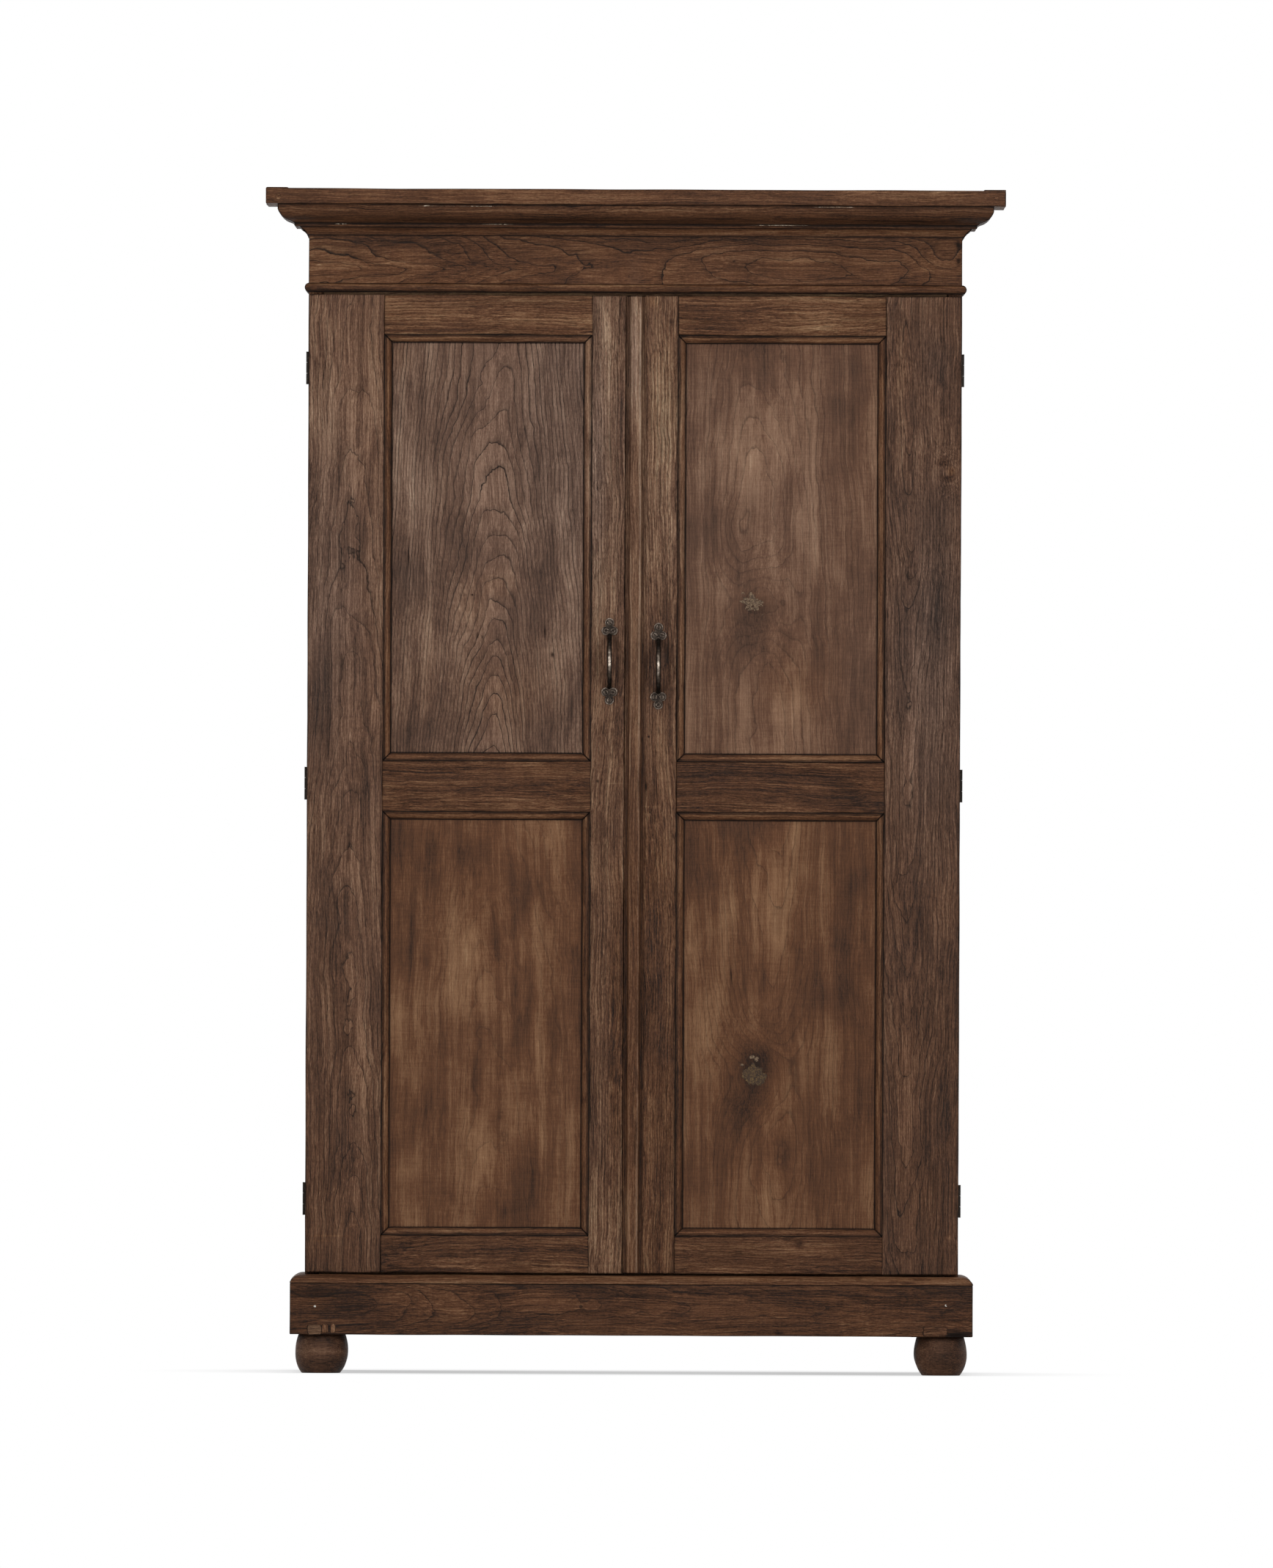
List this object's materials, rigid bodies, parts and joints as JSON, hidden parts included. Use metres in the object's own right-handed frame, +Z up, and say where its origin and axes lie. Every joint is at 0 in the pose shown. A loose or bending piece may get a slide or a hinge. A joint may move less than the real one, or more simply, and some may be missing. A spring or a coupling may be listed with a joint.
{
  "type": "two-door armoire",
  "caption": "Tall wooden armoire with two framed and panelled doors, a moulded cornice, shelves inside and bun feet.",
  "frame": {"origin": "on the floor, under the middle of the overall box", "axes": "+X to the right seen from the front, +Y from the doors to the back, +Z up"},
  "size_m": [1.148, 0.541, 1.84],
  "materials": {
    "teak": "aged reclaimed teak, thin wax over an old brown stain, worn at the edges",
    "inner_teak": "planed teak, unpolished",
    "black_iron": "blackened iron, rubbed bright on the high spots",
    "bolt_steel": "drawn steel, dulled",
    "catch_housing": "moulded"
  },
  "bodies": {
    "case": {"front_feet": "teak", "back_feet": "teak", "foot_blocks": "inner_teak", "plinth_front": "teak", "plinth_sides": "teak", "plinth_back": "inner_teak", "plinth_cap": "teak", "frieze": "teak", "necking_bead": "teak", "bed_moulding": "teak", "crown_moulding": "teak", "top_edging_front": "teak", "top_edging_sides": "teak", "top_panel": "teak", "left_side_frame": "teak", "left_side_panels": "teak", "right_side_frame": "teak", "right_side_panels": "teak", "bottom_board": "inner_teak", "head_rail": "inner_teak", "bolt_keepers": "black_iron", "case_ceiling": "inner_teak", "back_planks": "inner_teak", "lower_shelf": "inner_teak", "middle_shelf": "inner_teak", "upper_shelf": "inner_teak", "shelf_bearers": "inner_teak", "magnetic_catch": "catch_housing", "hinge_case_leaves": "black_iron", "hinge_pins": "black_iron", "hinge_case_screws": "black_iron"},
    "left_door": {"left_meeting_stile": "teak", "left_hanging_stile": "teak", "left_bottom_rail": "teak", "left_lock_rail": "teak", "left_top_rail": "teak", "left_lower_panel": "teak", "left_upper_panel": "teak", "left_panel_trim": "teak", "left_handle": "black_iron", "left_handle_screws": "black_iron", "left_door_hinge_leaves": "black_iron", "left_door_hinge_screws": "black_iron", "bolt_barrels": "black_iron"},
    "right_door": {"right_meeting_stile": "teak", "right_hanging_stile": "teak", "right_bottom_rail": "teak", "right_lock_rail": "teak", "right_top_rail": "teak", "right_lower_panel": "teak", "right_upper_panel": "teak", "right_panel_trim": "teak", "right_handle": "black_iron", "right_handle_screws": "black_iron", "right_door_hinge_leaves": "black_iron", "right_door_hinge_screws": "black_iron", "meeting_strip": "teak", "catch_strike": "bolt_steel"},
    "top_bolt": {"top_bolt_rod": "bolt_steel"},
    "bottom_bolt": {"bottom_bolt_rod": "bolt_steel"}
  },
  "joints": [
    {"name": "left_door_hinge", "type": "hinge", "parent": "case", "child": "left_door", "pos_m": [-0.5075, -0.181, 0.9], "axis": [0, 0, -1], "range_deg": [0, 180]},
    {"name": "right_door_hinge", "type": "hinge", "parent": "case", "child": "right_door", "pos_m": [0.5075, -0.181, 0.9], "axis": [0, 0, 1], "range_deg": [0, 180]},
    {"name": "top_bolt_slide", "type": "slide", "parent": "left_door", "child": "top_bolt", "axis": [0, 0, 1], "range_m": [0, 0.012]},
    {"name": "bottom_bolt_slide", "type": "slide", "parent": "left_door", "child": "bottom_bolt", "axis": [0, 0, -1], "range_m": [0, 0.012]}
  ]
}
